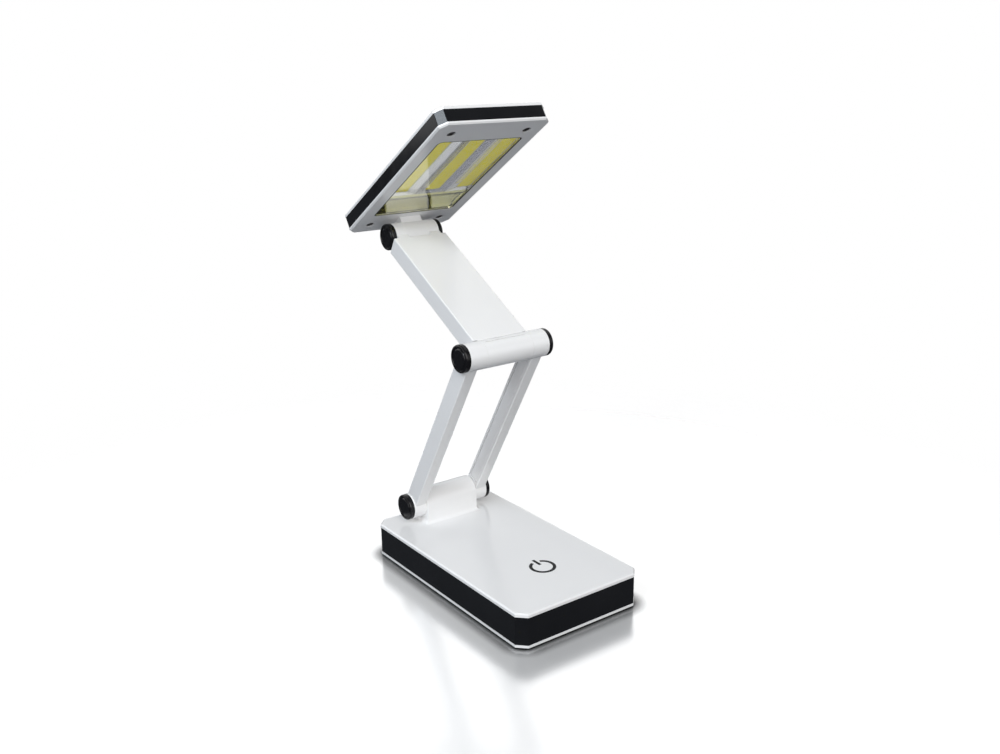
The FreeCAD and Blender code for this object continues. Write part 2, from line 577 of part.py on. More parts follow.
def makeHeadTopCover():
    body = newPiece("head_top_cover", "head")
    lip = pad(body, "XY", "headBandTop", "headLip", cutCorners(*headOutline))
    top = number("headTop")
    chamfer(body, lip, lambda p: near(p.z, top), "edgeBevel")
    skirtInset = "(headBandWall + seatGap)"
    pocket(body, "XY", "headBandTop", "headLip - headTopThick",
           cutCorners(*headOutline, f"({skirtInset} + skirtWall)"))
    pad(body, "XY", "headBandTop", "headBandHeight", cutCorners(*headOutline, skirtInset),
        cutCorners(*headOutline, f"({skirtInset} + skirtWall)"), reverse=True)
    pad(body, "XY", "headInside", "headInside - rimTop",
        *[(x, y, "bossRadius") for x, y in headScrewPlaces], reverse=True)
    pocket(body, "XY", "rimTop", "screwLength", *[(x, y, "pilotRadius") for x, y in headScrewPlaces])
    posts = [(f"{sx} * stripPitch / 2", y, "heatPostRadius") for sx in (-1, 1)
             for y in ("-stripNear - 10", "-stripFar + 10")]
    pad(body, "XY", "headInside", "headInside - reflectorBack - heatPlateThick", *posts, reverse=True)


def makeHeadSideBand():
    body = newPiece("head_side_band", "head")
    outside = cutCorners(*headOutline, "bandInset")
    band = pad(body, "XY", "rimTop", "headBandHeight", outside, cutCorners(*headOutline, "headBandWall"))
    softCorners(body, band, outside)


def windowOutline(inset):
    return box(f"-windowHalf + {inset}", f"windowHalf - {inset}",
               f"-windowFar + {inset}", f"-windowNear - {inset}")


def windowCorners(body, feature, inset, zTest):
    half = number(f"windowHalf - {inset}")
    ys = (number(f"-windowFar + {inset}"), number(f"-windowNear - {inset}"))
    return fillet(body, feature, lambda p: near(abs(p.x), half) and (near(p.y, ys[0]) or near(p.y, ys[1]))
                  and zTest(p.z), "windowCorner")


def makeHeadBezel():
    body = newPiece("head_bezel", "head")
    rim = pad(body, "XY", "headDrop", "headRim", cutCorners(*headOutline))
    low = number("headDrop")
    chamfer(body, rim, lambda p: near(p.z, low), "edgeBevel")
    opening = pocket(body, "XY", "headDrop", "headRim", windowOutline("0"))
    windowCorners(body, opening, "0", lambda z: True)
    pad(body, "YZ", "0", "2 * neckHalf", box("-neckDepth / 2", "neckDepth / 2", "0", "headDrop + headRim / 2"),
        symmetric=True)
    pad(body, "YZ", "0", "2 * neckHalf", ("0", "0", "barrelRadius"), symmetric=True)
    pocket(body, "YZ", "0", "4 * neckHalf", ("0", "0", "boreRadius"), symmetric=True)
    pocket(body, "XY", "headDrop", "screwSink", *[(x, y, "screwSeat") for x, y in headScrewPlaces])
    pocket(body, "XY", "headDrop", "headRim", *[(x, y, "screwHole") for x, y in headScrewPlaces])
    pocket(body, "XY", "boreRadius + 1", "headDrop", ("0", "-2", "wireRadius + 0.3"))


def makeWindow():
    body = newPiece("head_window", "head")
    pane = pad(body, "XY", "headDrop + windowSink", "headRim - windowSink", windowOutline("windowGap"))
    windowCorners(body, pane, "windowGap", lambda z: True)
    pad(body, "XY", "rimTop", "windowFlangeThick", windowOutline("-windowFlange"))


def section(body, level, half, nearY, farY):
    sketch = newSketch(body, "XY", level)
    outline(sketch, box(f"-({half})", half, f"-({farY})", f"-({nearY})"))
    sketch.Visibility = False
    return sketch


def hollowed(body, name, levels):
    """Cuts a trough with sloping walls between the outlines given for its mouth and its floor."""
    sections = [section(body, *level) for level in levels]
    trough = body.newObject("PartDesign::SubtractiveLoft", name)
    trough.Profile = sections[0]
    trough.Sections = sections[1:]


stripCentres = [f"{step} * stripPitch" for step in (-1, 0, 1)]


def makeReflector():
    """Chromed tray: one long trough for the strips with two ridges in it and a cross trough at the neck."""
    body = newPiece("head_reflector", "head")
    rim = "reflectorRim"
    pad(body, "XY", "reflectorFront", "reflectorThick",
        box(f"-windowHalf - {rim}", f"windowHalf + {rim}", f"-windowFar - {rim}", f"-windowNear + {rim}"))
    floor = "(reflectorFront + floorSink)"
    half = "windowHalf - 0.6"
    hollowed(body, "strip_trough", [
        ("reflectorFront", f"{half}", "crossFar", "stripFar + 0.6"),
        (floor, f"{half} - slopeRun / 2", "crossFar + crossSlope", "stripFar + 0.3")])
    hollowed(body, "cross_trough", [
        ("reflectorFront", f"{half}", "crossNear", "crossFar + 0.4"),
        (floor, f"{half} - slopeRun", "crossNear + crossSlope", "crossFar - crossSlope")])
    foot = "(stripPitch / 2 - stripWidth / 2 - 0.2)"
    crest = "(reflectorFront + crestSink)"
    for side in (-1, 1):
        middle = f"{side} * stripPitch / 2"
        pad(body, "XZ", "ridgeNear", "stripFar + 1 - ridgeNear",
            [(f"{middle} - {foot}", "reflectorBack - 0.2"), (f"{middle} - {foot}", f"{floor} - 0.1"),
             (f"{middle} - slopeRun / 2", crest), (f"{middle} + slopeRun / 2", crest),
             (f"{middle} + {foot}", f"{floor} - 0.1"), (f"{middle} + {foot}", "reflectorBack - 0.2")])
    slotHalf = "(stripWidth / 2 + stripGap)"
    boardHalfWidth = "(stripWidth / 2 + stripMargin + stripGap)"
    pocket(body, "XY", "reflectorFront", "reflectorThick",
           *[box(f"{x} - {slotHalf}", f"{x} + {slotHalf}", "-stripFar + stripMargin - stripGap",
                 "-stripNear - stripMargin + stripGap") for x in stripCentres])
    pocket(body, "XY", "reflectorBack - stripBoard - stripGap / 2", "stripBoard + stripGap",
           *[box(f"{x} - {boardHalfWidth}", f"{x} + {boardHalfWidth}", "-stripFar - stripGap",
                 "-stripNear + stripGap") for x in stripCentres])


def makeLightStrips():
    """Each strip is a thin board with a phosphor pad that fills its slot in the reflector."""
    half = "(stripWidth / 2)"
    for x, name in zip(stripCentres, ("left", "middle", "right")):
        body = newPiece(f"led_strip_{name}", "head")
        pad(body, "XY", "reflectorBack - stripBoard", "stripBoard",
            box(f"{x} - {half} - stripMargin", f"{x} + {half} + stripMargin", "-stripFar", "-stripNear"))
        pad(body, "XY", "reflectorBack - stripBoard", "reflectorThick - stripBoard - floorSink + 0.05",
            box(f"{x} - {half}", f"{x} + {half}", "-stripFar + stripMargin", "-stripNear - stripMargin"),
            reverse=True)
    plate = newPiece("heat_plate", "head")
    slab = pad(plate, "XY", "reflectorBack", "heatPlateThick",
               cutCorners("windowHalf", "-windowFar - reflectorRim + 0.5", "-stripNear + 4", "2"))
    return slab


# --------------------------------------------------------------- wires

def makeWires():
    """The lead from the board to the light strips, one straight run in each moving housing."""
    runs = (("base_wire", "base", "XZ", "blockHollow - 4", "bandTop - frameWeb - wireRadius - 0.2",
             "-(hingeY - 2)", "hingeY - trayFar - 4", False),
            ("lower_arm_wire", "lower", "XZ", "-(legInner + legThick - legWall - wireRadius - 0.2)", "0",
             "barrelRadius + legEndWall + 0.5", "lowerLength - 2 * barrelRadius - 2 * legEndWall - 1", False),
            ("upper_arm_wire", "upper", "XZ", "0", "upperThick / 2 - upperWall - wireRadius - 0.1",
             "-(barrelRadius + legEndWall + 0.5)",
             "upperLength - upperEnd - upperWall - barrelRadius - legEndWall - 1", True))
    for node, frame, plane, x, z, start, length, reverse in runs:
        body = newPiece(node, frame)
        pad(body, plane, start, length, (x, z, "wireRadius"), reverse=reverse)
    body = newPiece("head_wire", "head")
    pad(body, "XY", "boreRadius + 1.5", "headInside - boreRadius - 3", ("0", "-2", "wireRadius"))


makeBaseTopCover()
makeBaseInnerFrame()
makeBaseSideBand()
makeBaseBottomPlate()
makeBatteryDoor()
makeRubberFeet()
makeScrews("base_screws", "base", screwPlaces, "footProud + screwSink - screwHeadThick")
makeBatteryPack()
makeControls()
makeHingeHardware("base_hinge", "baseHinge", "blockHalf", "(hingeHalf - nutSeatDepth)")
makeHingeHardware("middle_hinge", "lowerEnd", "middleHalf", "(hingeHalf - nutSeatDepth)")
makeHingeHardware("head_hinge", "upperEnd", "neckHalf", "(earOuter - nutSeatDepth)")
for side, name in ((-1, "left"), (1, "right")):
    makeCap(f"base_hinge_cap_{name}", "lower", "hingeHalf", side)
    makeCap(f"middle_hinge_cap_{name}", "lowerEnd", "hingeHalf", side)
    makeCap(f"head_hinge_cap_{name}", "upperEnd", "earOuter", side)
    makeLeg(side, name)
makeUpperArm()
makeScrews("upper_arm_screws", "upper", armScrewPlaces, "-upperThick / 2 + lidRecess")
makeHeadTopCover()
makeHeadSideBand()
makeHeadBezel()
makeScrews("bezel_screws", "head", headScrewPlaces, "headDrop + screwSink - screwHeadThick")
makeWindow()
makeReflector()
makeLightStrips()
makeWires()

doc.recompute()
faults = [item.Name for item in doc.Objects if "Invalid" in item.State or "Error" in item.State]
for body in pieces:
    if body.Shape.isNull() or not body.Shape.isValid():
        faults.append(body.Label)
if faults:
    raise RuntimeError(f"not built: {faults}")
os.makedirs("parts", exist_ok=True)
for body in pieces:
    body.Shape.exportStep(f"parts/{body.Label}.step")
    print(f"{body.Label}: {len(body.Shape.Solids)} solids, {body.Shape.Volume:.1f} mm3")
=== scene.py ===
import json
import math

import bmesh
import bpy
from mathutils import Matrix, Vector


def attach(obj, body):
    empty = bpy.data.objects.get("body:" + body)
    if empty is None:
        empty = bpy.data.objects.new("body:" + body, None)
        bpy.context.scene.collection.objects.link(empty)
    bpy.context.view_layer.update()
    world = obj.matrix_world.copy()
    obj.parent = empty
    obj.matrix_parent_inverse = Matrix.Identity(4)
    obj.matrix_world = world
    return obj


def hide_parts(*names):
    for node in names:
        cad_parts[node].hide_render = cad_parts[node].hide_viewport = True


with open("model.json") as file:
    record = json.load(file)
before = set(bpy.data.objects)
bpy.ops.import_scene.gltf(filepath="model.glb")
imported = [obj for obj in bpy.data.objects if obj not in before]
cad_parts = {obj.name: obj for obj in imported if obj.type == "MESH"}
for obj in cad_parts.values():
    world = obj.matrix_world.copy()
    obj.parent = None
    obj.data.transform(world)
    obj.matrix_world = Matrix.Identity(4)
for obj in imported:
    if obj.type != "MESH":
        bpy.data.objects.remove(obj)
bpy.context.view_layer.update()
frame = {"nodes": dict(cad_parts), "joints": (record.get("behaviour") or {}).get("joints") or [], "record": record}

mm = 0.001
scene = bpy.context.scene
nodes = frame["nodes"]
hinges = {joint["name"]: Vector(joint["pos_m"]) for joint in frame["joints"]}

# each housing's hinge, and how the housing is turned from lying flat, in degrees about X
openPose = {"lower_arm": ("base_hinge", -59.3), "upper_arm": ("middle_hinge", 29.9),
            "head": ("head_hinge", -32.1)}
housingPlace = {"base": Matrix.Identity(4)}
for housing, (hinge, opened) in openPose.items():
    housingPlace[housing] = Matrix.Translation(hinges[hinge]) @ Matrix.Rotation(math.radians(opened), 4, "X")

# camera, at the place the photograph was taken from

photoCamera = {"place": (-331.401, -458.863, 295.277), "azimuth": -35.900, "elevation": 16.721,
               "roll": -0.818, "lens": 37.547, "sensor": 36.0, "clip": (0.01, 50)}


def setCamera(settings):
    azimuth, elevation = math.radians(settings["azimuth"]), math.radians(settings["elevation"])
    back = Vector((math.sin(azimuth) * math.cos(elevation), -math.cos(azimuth) * math.cos(elevation),
                   math.sin(elevation)))
    across = Vector((0, 0, 1)).cross(back).normalized()
    above = back.cross(across)
    roll = math.radians(settings["roll"])
    right = across * math.cos(roll) + above * math.sin(roll)
    up = above * math.cos(roll) - across * math.sin(roll)
    data = bpy.data.cameras.new("photoCamera")
    data.sensor_fit, data.sensor_width, data.lens = "HORIZONTAL", settings["sensor"], settings["lens"]
    data.clip_start, data.clip_end = settings["clip"]
    camera = bpy.data.objects.new("photoCamera", data)
    scene.collection.objects.link(camera)
    turn = Matrix((right, up, back)).transposed().to_4x4()
    camera.matrix_world = Matrix.Translation(Vector(settings["place"]) * mm) @ turn
    scene.camera = camera


setCamera(photoCamera)
print("camera set")


def addNode(tree, kind, links=(), **values):
    node = tree.nodes.new(kind)
    for key, value in values.items():
        setattr(node, key, value)
    for socket, source in dict(links).items():
        if isinstance(source, bpy.types.NodeSocket):
            tree.links.new(source, node.inputs[socket])
        else:
            node.inputs[socket].default_value = source
    return node


def maths(tree, operation, first, second):
    return addNode(tree, "ShaderNodeMath", {0: first, 1: second}, operation=operation).outputs[0]


def newFinish(name):
    finish = bpy.data.materials.new(name)
    finish.use_nodes = True
    tree = finish.node_tree
    shader = tree.nodes["Principled BSDF"]
    place = tree.nodes.new("ShaderNodeTexCoord").outputs["Object"]
    return finish, tree, shader, place


def noiseAt(tree, place, scale, detail=2.0, rough=0.5, stretch=None):
    if stretch:
        place = addNode(tree, "ShaderNodeMapping", {"Vector": place, "Scale": stretch}).outputs["Vector"]
    noise = addNode(tree, "ShaderNodeTexNoise", {"Vector": place, "Scale": scale, "Detail": detail,
                                                 "Roughness": rough})
    return noise.outputs["Fac"]


# low and high are numbers, or colours as three numbers
def spread(tree, value, low, high, start=0.3, end=0.7):
    ramp = addNode(tree, "ShaderNodeMapRange", {"Value": value, "From Min": start, "From Max": end})
    if isinstance(low, (int, float)):
        ramp.inputs["To Min"].default_value, ramp.inputs["To Max"].default_value = low, high
        return ramp.outputs["Result"]
    mix = addNode(tree, "ShaderNodeMix", {"Factor": ramp.outputs["Result"], "A": (*low, 1), "B": (*high, 1)},
                  data_type="RGBA")
    return mix.outputs["Result"]


def addBump(tree, shader, height, strength, distance):
    bump = addNode(tree, "ShaderNodeBump", {"Height": height, "Strength": strength, "Distance": distance})
    tree.links.new(bump.outputs["Normal"], shader.inputs["Normal"])


whitePlastic = {"dark": (0.856, 0.856, 0.856), "light": (0.864, 0.864, 0.864), "sheen": (0.15, 0.20),
                "ripple": 0.0005, "specular": 0.5}
blackPlastic = {"dark": (0.007, 0.0075, 0.009), "light": (0.010, 0.0105, 0.012), "sheen": (0.12, 0.17),
                "ripple": 0.0008, "specular": 0.33}
capPlastic = {"dark": (0.005, 0.005, 0.006), "light": (0.009, 0.009, 0.010), "sheen": (0.16, 0.22),
              "ripple": 0.0008, "specular": 0.22}
mouldedGrain = {"cloud": 38, "smudge": 95, "ripple": 900, "strength": 0.25}


# Glossy moulded plastic: cloudy colour, uneven sheen and a faint ripple from the mould
def mouldedPlastic(name, settings):
    finish, tree, shader, place = newFinish(name)
    cloud = noiseAt(tree, place, mouldedGrain["cloud"], 3)
    tree.links.new(spread(tree, cloud, settings["dark"], settings["light"]), shader.inputs["Base Color"])
    smudge = noiseAt(tree, place, mouldedGrain["smudge"], 4, 0.6)
    tree.links.new(spread(tree, smudge, *settings["sheen"]), shader.inputs["Roughness"])
    ripple = noiseAt(tree, place, mouldedGrain["ripple"], 2)
    addBump(tree, shader, ripple, mouldedGrain["strength"], settings["ripple"] * mm)
    shader.inputs["Specular IOR Level"].default_value = settings["specular"]
    return finish


dullGrain = {"cloud": 60, "smudge": 220, "strength": 0.4, "height": 0.03}


# Matt plastic, rubber, foam or ink, cloudy and with a fine grain
def dullPlastic(name, dark, light, rough=(0.45, 0.6), grain=1600):
    finish, tree, shader, place = newFinish(name)
    cloud = noiseAt(tree, place, dullGrain["cloud"], 3)
    tree.links.new(spread(tree, cloud, dark, light), shader.inputs["Base Color"])
    smudge = noiseAt(tree, place, dullGrain["smudge"], 3)
    tree.links.new(spread(tree, smudge, *rough), shader.inputs["Roughness"])
    addBump(tree, shader, noiseAt(tree, place, grain, 2), dullGrain["strength"], dullGrain["height"] * mm)
    return finish


metalGrain = {"lines": 700, "smudge": 120, "strength": 0.3, "height": 0.01}


# Metal with fine lines along one direction, from rolling, turning or brushing
def workedMetal(name, dark, light, rough, grainDirection):
    finish, tree, shader, place = newFinish(name)
    lines = noiseAt(tree, place, metalGrain["lines"], 4, 0.6, stretch=grainDirection)
    tree.links.new(spread(tree, lines, dark, light), shader.inputs["Base Color"])
    smudge = noiseAt(tree, place, metalGrain["smudge"], 3)
    tree.links.new(spread(tree, smudge, *rough), shader.inputs["Roughness"])
    shader.inputs["Metallic"].default_value = 1.0
    addBump(tree, shader, lines, metalGrain["strength"], metalGrain["height"] * mm)
    return finish


clearAcrylic = {"colour": (0.985, 0.99, 0.985), "bending": 1.49, "coat": 0.8, "cloud": 60,
                "sheen": (0.0, 0.02)}


def clearPane(name, settings):
    finish, tree, shader, place = newFinish(name)
    shader.inputs["Base Color"].default_value = (*settings["colour"], 1)
    shader.inputs["Transmission Weight"].default_value = 1.0
    shader.inputs["IOR"].default_value = settings["bending"]
    shader.inputs["Coat Weight"].default_value = settings["coat"]
    cloud = noiseAt(tree, place, settings["cloud"], 3)
    tree.links.new(spread(tree, cloud, *settings["sheen"]), shader.inputs["Roughness"])
    return finish


# outer is the chrome's own colour; the inner tint is a painted dark blue-grey reflection and the cross tint a
# painted yellow reflection of the strips
chromeAndPaintedReflections = {"outer": (0.93, 0.93, 0.94), "inner": (0.43, 0.435, 0.49), "cross": (0.80, 0.77, 0.34),
                   "ridgeAt": 11.0, "crossFrom": -33.0, "blend": 0.8, "sheen": (0.05, 0.12),
                   "smudge": 120, "ripple": 500, "strength": 0.3, "height": 0.004}


# Chrome with painted reflections: its own bright colour towards the sides, a painted dark blue-grey reflection
# round the middle strip, and a painted yellow reflection of the strips by the neck
def chromeTrayWithPaintedReflections(name, settings):
    finish, tree, shader, place = newFinish(name)
    blend = settings["blend"] / 2
    across = addNode(tree, "ShaderNodeSeparateXYZ", {"Vector": place}).outputs["X"]
    # painted reflection: dark blue-grey on the slopes round the middle strip, the chrome's own bright colour
    # further out
    paintedTroughReflections = spread(tree, maths(tree, "ABSOLUTE", across, 0.0), settings["inner"], settings["outer"],
                     (settings["ridgeAt"] - blend) * mm, (settings["ridgeAt"] + blend) * mm)
    fromHinge = addNode(tree, "ShaderNodeVectorMath", {0: place, 1: hinges["head_hinge"]},
                        operation="SUBTRACT")
    headAlong = housingPlace["head"].to_3x3() @ Vector((0, 1, 0))
    along = addNode(tree, "ShaderNodeVectorMath", {0: fromHinge.outputs["Vector"], 1: headAlong},
                    operation="DOT_PRODUCT").outputs["Value"]
    # painted yellow reflection of the strips, laid on the trough by the neck
    paintedYellowReflectionShare = spread(tree, along, 0.0, 1.0, (settings["crossFrom"] - blend) * mm,
                    (settings["crossFrom"] + blend) * mm)
    colour = addNode(tree, "ShaderNodeMix", {"Factor": paintedYellowReflectionShare, "A": paintedTroughReflections, "B": (*settings["cross"], 1)},
                     data_type="RGBA").outputs["Result"]
    tree.links.new(colour, shader.inputs["Base Color"])
    smudge = noiseAt(tree, place, settings["smudge"], 3)
    tree.links.new(spread(tree, smudge, *settings["sheen"]), shader.inputs["Roughness"])
    shader.inputs["Metallic"].default_value = 1.0
    ripple = noiseAt(tree, place, settings["ripple"], 3)
    addBump(tree, shader, ripple, settings["strength"], settings["height"] * mm)
    return finish


yellowGel = {"dark": (0.86, 0.76, 0.006), "light": (0.94, 0.83, 0.010), "sheen": (0.45, 0.6),
             "specular": 0.02, "paintedGlow": (1.0, 0.88, 0.0), "paintedGlowStrength": 0.11, "mottle": 260, "smudge": 500,
             "ripple": 900, "strength": 0.3, "height": 0.02}


# Yellow gel over the light chips, mottled where the phosphor has settled, with a faint painted glow that makes it
# brighter than its lighting does
def phosphorGel(name, settings):
    finish, tree, shader, place = newFinish(name)
    mottle = noiseAt(tree, place, settings["mottle"], 4, 0.6)
    tree.links.new(spread(tree, mottle, settings["dark"], settings["light"]), shader.inputs["Base Color"])
    smudge = noiseAt(tree, place, settings["smudge"], 2)
    tree.links.new(spread(tree, smudge, *settings["sheen"]), shader.inputs["Roughness"])
    shader.inputs["Specular IOR Level"].default_value = settings["specular"]
    # painted glow: the strips are not lit, and this emission brightens the gel beyond the light that reaches it
    shader.inputs["Emission Color"].default_value = (*settings["paintedGlow"], 1)
    shader.inputs["Emission Strength"].default_value = settings["paintedGlowStrength"]
    ripple = noiseAt(tree, place, settings["ripple"], 2)
    addBump(tree, shader, ripple, settings["strength"], settings["height"] * mm)
    return finish


finishes = {
    "white_shell": mouldedPlastic("whitePlastic", whitePlastic),
    "black_band": mouldedPlastic("blackBandPlastic", blackPlastic),
    "black_cap": mouldedPlastic("blackCapPlastic", capPlastic),
    "tray_plastic": dullPlastic("trayPlastic", (0.03, 0.03, 0.032), (0.05, 0.05, 0.052)),
    "cell_jacket": workedMetal("cellJacket", (0.62, 0.63, 0.65), (0.70, 0.71, 0.73), (0.30, 0.42),
                               (1, 0.02, 1)),
    "contact_metal": workedMetal("contactNickel", (0.66, 0.64, 0.60), (0.76, 0.74, 0.70), (0.29, 0.38),
                                 (1, 1, 0.05)),
    "circuit_board": dullPlastic("solderMask", (0.02, 0.13, 0.05), (0.03, 0.17, 0.07), (0.30, 0.42)),
    "foam_pad": dullPlastic("conductiveFoam", (0.03, 0.03, 0.03), (0.06, 0.06, 0.06), (0.85, 0.95), 700),
    "zinc_screws": workedMetal("darkZinc", (0.10, 0.095, 0.09), (0.17, 0.16, 0.155), (0.35, 0.5), (1, 1, 1)),
    "ballast_steel": workedMetal("rolledSteel", (0.38, 0.38, 0.39), (0.48, 0.48, 0.49), (0.4, 0.55),
                                 (1, 0.03, 1)),
    "foot_rubber": dullPlastic("footRubber", (0.018, 0.018, 0.018), (0.03, 0.03, 0.03), (0.7, 0.85), 1200),
    "wire_jacket": dullPlastic("wireJacket", (0.48, 0.035, 0.03), (0.56, 0.05, 0.04), (0.35, 0.5)),
    "hinge_steel": workedMetal("turnedSteel", (0.48, 0.48, 0.49), (0.60, 0.60, 0.61), (0.29, 0.38),
                               (0.03, 1, 1)),
    "friction_washer": dullPlastic("acetalWasher", (0.78, 0.78, 0.77), (0.84, 0.84, 0.83)),
    "clear_window": clearPane("clearAcrylic", clearAcrylic),
    "reflector_chrome": chromeTrayWithPaintedReflections("chromeWithPaintedReflections", chromeAndPaintedReflections),
    "phosphor_strip": phosphorGel("phosphorGel", yellowGel),
    "heat_aluminium": workedMetal("heatPlateAluminium", (0.62, 0.62, 0.63), (0.72, 0.72, 0.73), (0.3, 0.45),
                                  (1, 0.03, 1)),
}
stripBoard = dullPlastic("stripBoard", (0.62, 0.61, 0.55), (0.70, 0.69, 0.62), (0.3, 0.45))
# near-black rubber for the bead that stands in for the shade in the gap round the window pane
shadeBeadRubber = dullPlastic("shadeBeadRubber", (0.025, 0.025, 0.027), (0.04, 0.04, 0.042), (0.5, 0.65), 2000)
symbolInk = dullPlastic("symbolInk", (0.010, 0.010, 0.011), (0.018, 0.018, 0.019), (0.5, 0.6))
symbolInk.node_tree.nodes["Principled BSDF"].inputs["Specular IOR Level"].default_value = 0.1

for entry in frame["record"]["subparts"]:
    node = nodes[entry["node"]]
    for index in range(len(node.material_slots)):
        node.material_slots[index].material = finishes[entry["material_slot"]]
print("finishes on", len(nodes), "pieces")


# mesh is in metres, drawn as the housing lies flat, and takes its housing's place
def newPiece(name, mesh, body):
    mesh.transform(housingPlace[body])
    piece = bpy.data.objects.new(name, mesh)
    scene.collection.objects.link(piece)
    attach(piece, body)
    return piece


touchSymbol = {"centre": (2.0, -37.0), "ringRadius": 6.8, "stroke": 1.95, "gapFrom": 66, "gapTo": 110,
               "barX": 2.3, "barFrom": -34.6, "barTo": -27.5, "barWidth": 1.8, "level": 21.0, "ink": 0.03,
               "steps": 96}


# A printed ring with a gap at the back and a bar through the gap
def makeTouchSymbol(settings):
    shape = bmesh.new()
    centreX, centreY = settings["centre"]
    steps, half = settings["steps"], settings["stroke"] / 2
    sweep = 360 - (settings["gapTo"] - settings["gapFrom"])
    loops = []
    for step in range(steps + 1):
        angle = math.radians(settings["gapTo"] + sweep * step / steps)
        loop = []
        for radius in (settings["ringRadius"] - half, settings["ringRadius"] + half):
            x, y = centreX + radius * math.cos(angle), centreY + radius * math.sin(angle)
            loop.append([shape.verts.new(Vector((x, y, settings["level"] + z)) * mm)
                         for z in (0.0, settings["ink"])])
        loops.append(loop)
    for (inner, outer), (nextInner, nextOuter) in zip(loops, loops[1:]):
        shape.faces.new((inner[1], outer[1], nextOuter[1], nextInner[1]))
        shape.faces.new((inner[0], nextInner[0], nextOuter[0], outer[0]))
        shape.faces.new((outer[0], nextOuter[0], nextOuter[1], outer[1]))
        shape.faces.new((inner[0], inner[1], nextInner[1], nextInner[0]))
    for inner, outer in (loops[0], loops[-1]):
        shape.faces.new((inner[0], outer[0], outer[1], inner[1]))
    left, right = settings["barX"] - settings["barWidth"] / 2, settings["barX"] + settings["barWidth"] / 2
    near, far = settings["barFrom"], settings["barTo"]
    corners = [(left, near), (right, near), (right, far), (left, far)]
    low = [shape.verts.new(Vector((x, y, settings["level"])) * mm) for x, y in corners]
    high = [shape.verts.new(Vector((x, y, settings["level"] + settings["ink"])) * mm) for x, y in corners]
    shape.faces.new(high)
    shape.faces.new(low[::-1])
    for index in range(4):
        after = (index + 1) % 4
        shape.faces.new((low[index], low[after], high[after], high[index]))
    bmesh.ops.recalc_face_normals(shape, faces=shape.faces)
    mesh = bpy.data.meshes.new("touchSymbol")
    shape.to_mesh(mesh)
    shape.free()
    mesh.materials.append(symbolInk)
    newPiece("touchSymbol", mesh, "base")


makeTouchSymbol(touchSymbol)
print("touch symbol printed")


# A Geometry Nodes tree with named number inputs; returns the tree, its input node and its output node
def startTree(name, inputs):
    tree = bpy.data.node_groups.new(name, "GeometryNodeTree")
    tree.interface.new_socket("Geometry", in_out="INPUT", socket_type="NodeSocketGeometry")
    for label, value in inputs.items():
        kind = "NodeSocketInt" if isinstance(value, int) else "NodeSocketFloat"
        tree.interface.new_socket(label, in_out="INPUT", socket_type=kind).default_value = value
    tree.interface.new_socket("Geometry", in_out="OUTPUT", socket_type="NodeSocketGeometry")
    return tree, tree.nodes.new("NodeGroupInput"), tree.nodes.new("NodeGroupOutput")


def endTree(tree, geometry, output, finish):
    real = addNode(tree, "GeometryNodeRealizeInstances", {"Geometry": geometry})
    done = addNode(tree, "GeometryNodeSetMaterial", {"Geometry": real.outputs["Geometry"],
                                                     "Material": finish})
    tree.links.new(done.outputs["Geometry"], output.inputs["Geometry"])


# Runs a tree on a mesh of single points and returns the plain mesh that it makes
def grown(name, tree, points, settings):
    seed = bpy.data.meshes.new(name)
    seed.from_pydata([Vector(point) * mm for point in points], [], [])
    carrier = bpy.data.objects.new(name, seed)
    scene.collection.objects.link(carrier)
    modifier = carrier.modifiers.new(name, "NODES")
    modifier.node_group = tree
    for item in tree.interface.items_tree:
        if item.in_out == "INPUT" and item.name in settings:
            modifier[item.identifier] = settings[item.name]
    mesh = bpy.data.meshes.new_from_object(carrier.evaluated_get(bpy.context.evaluated_depsgraph_get()))
    bpy.data.objects.remove(carrier)
    mesh.name = name
    return mesh


screwSizes = {"Head Radius": 2.35 * mm, "Head Height": 0.9 * mm, "Recess Length": 2.7 * mm,
              "Recess Width": 0.62 * mm, "Recess Depth": 0.55 * mm, "Shank Length": 5.0 * mm, "Turn Seed": 4}
# rim and crown are shares of the head's height, and crownFoot and shank of its radius
screwShape = {"rim": 0.6, "crown": 0.42, "crownFoot": 0.72, "shank": 0.5, "headSides": 40, "shankSides": 24,
              "turnUpTo": 1.57}
screwPlaces = {
    "bezelScrews": ("head", "bezel_screws", [(x, y, 11.1) for x in (-24.7, 24.7) for y in (1.8, -105.6)]),
    "baseScrews": ("base", "base_screws", [(x, y, 1.7) for x in (-33, 33) for y in (-64, 64)]),
    "armScrews": ("upper_arm", "upper_arm_screws",
                  [(x, y, -4.4) for x in (-12.5, 12.5) for y in (18.4, 89.6)]),
}


